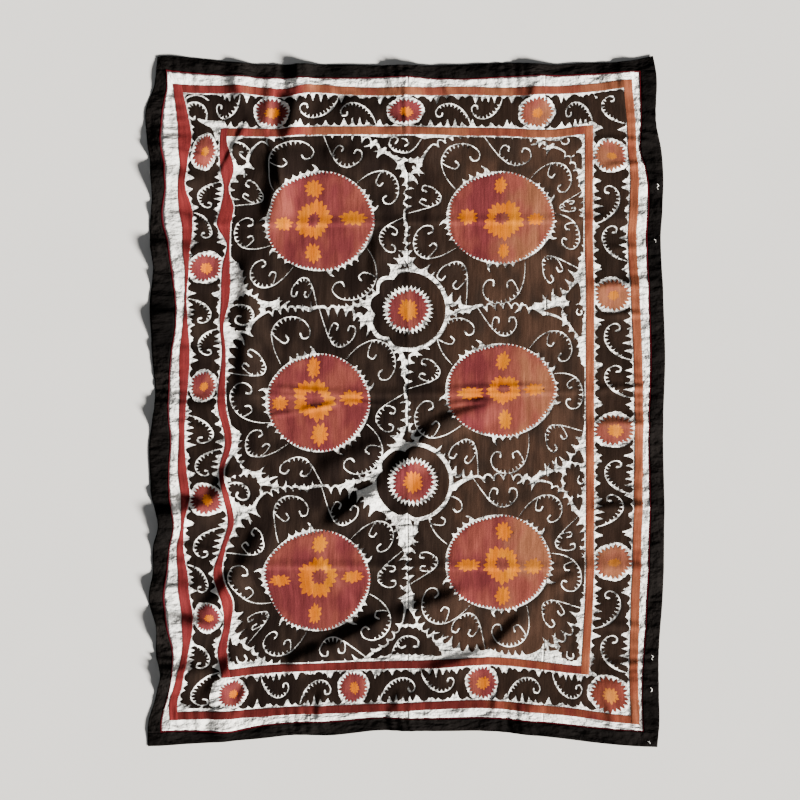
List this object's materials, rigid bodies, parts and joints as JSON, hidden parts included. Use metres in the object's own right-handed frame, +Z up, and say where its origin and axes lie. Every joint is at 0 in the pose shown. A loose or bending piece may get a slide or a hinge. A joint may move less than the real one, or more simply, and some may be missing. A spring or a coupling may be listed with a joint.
{
  "type": "suzani embroidered textile",
  "caption": "Large embroidered cotton cloth with a dark border and red piping, laid out flat with soft folds, for covering a bed or a wall.",
  "frame": {"origin": "centre of the bounding box on the floor plane that the cloth lies on", "axes": "+X across the cloth's width to the right of the picture, +Y along its length to the picture's top, +Z up off the floor"},
  "size_m": [1.8798, 2.5, 0.0284],
  "materials": {
    "ground_cotton": "matte plain weave",
    "black_cotton": "matte plain weave",
    "red_cotton": "matte folded cotton",
    "brown_thread": "soft satin laid thread",
    "red_thread": "soft satin laid thread",
    "gold_thread": "soft satin laid thread"
  },
  "bodies": {
    "root": {"panel_left": "ground_cotton", "panel_mid_left": "ground_cotton", "panel_mid_right": "ground_cotton", "panel_right": "ground_cotton", "border_left": "black_cotton", "border_right": "black_cotton", "border_top": "black_cotton", "border_bottom": "black_cotton", "piping_left": "red_cotton", "piping_right": "red_cotton", "piping_top": "red_cotton", "piping_bottom": "red_cotton"}
  },
  "joints": []
}
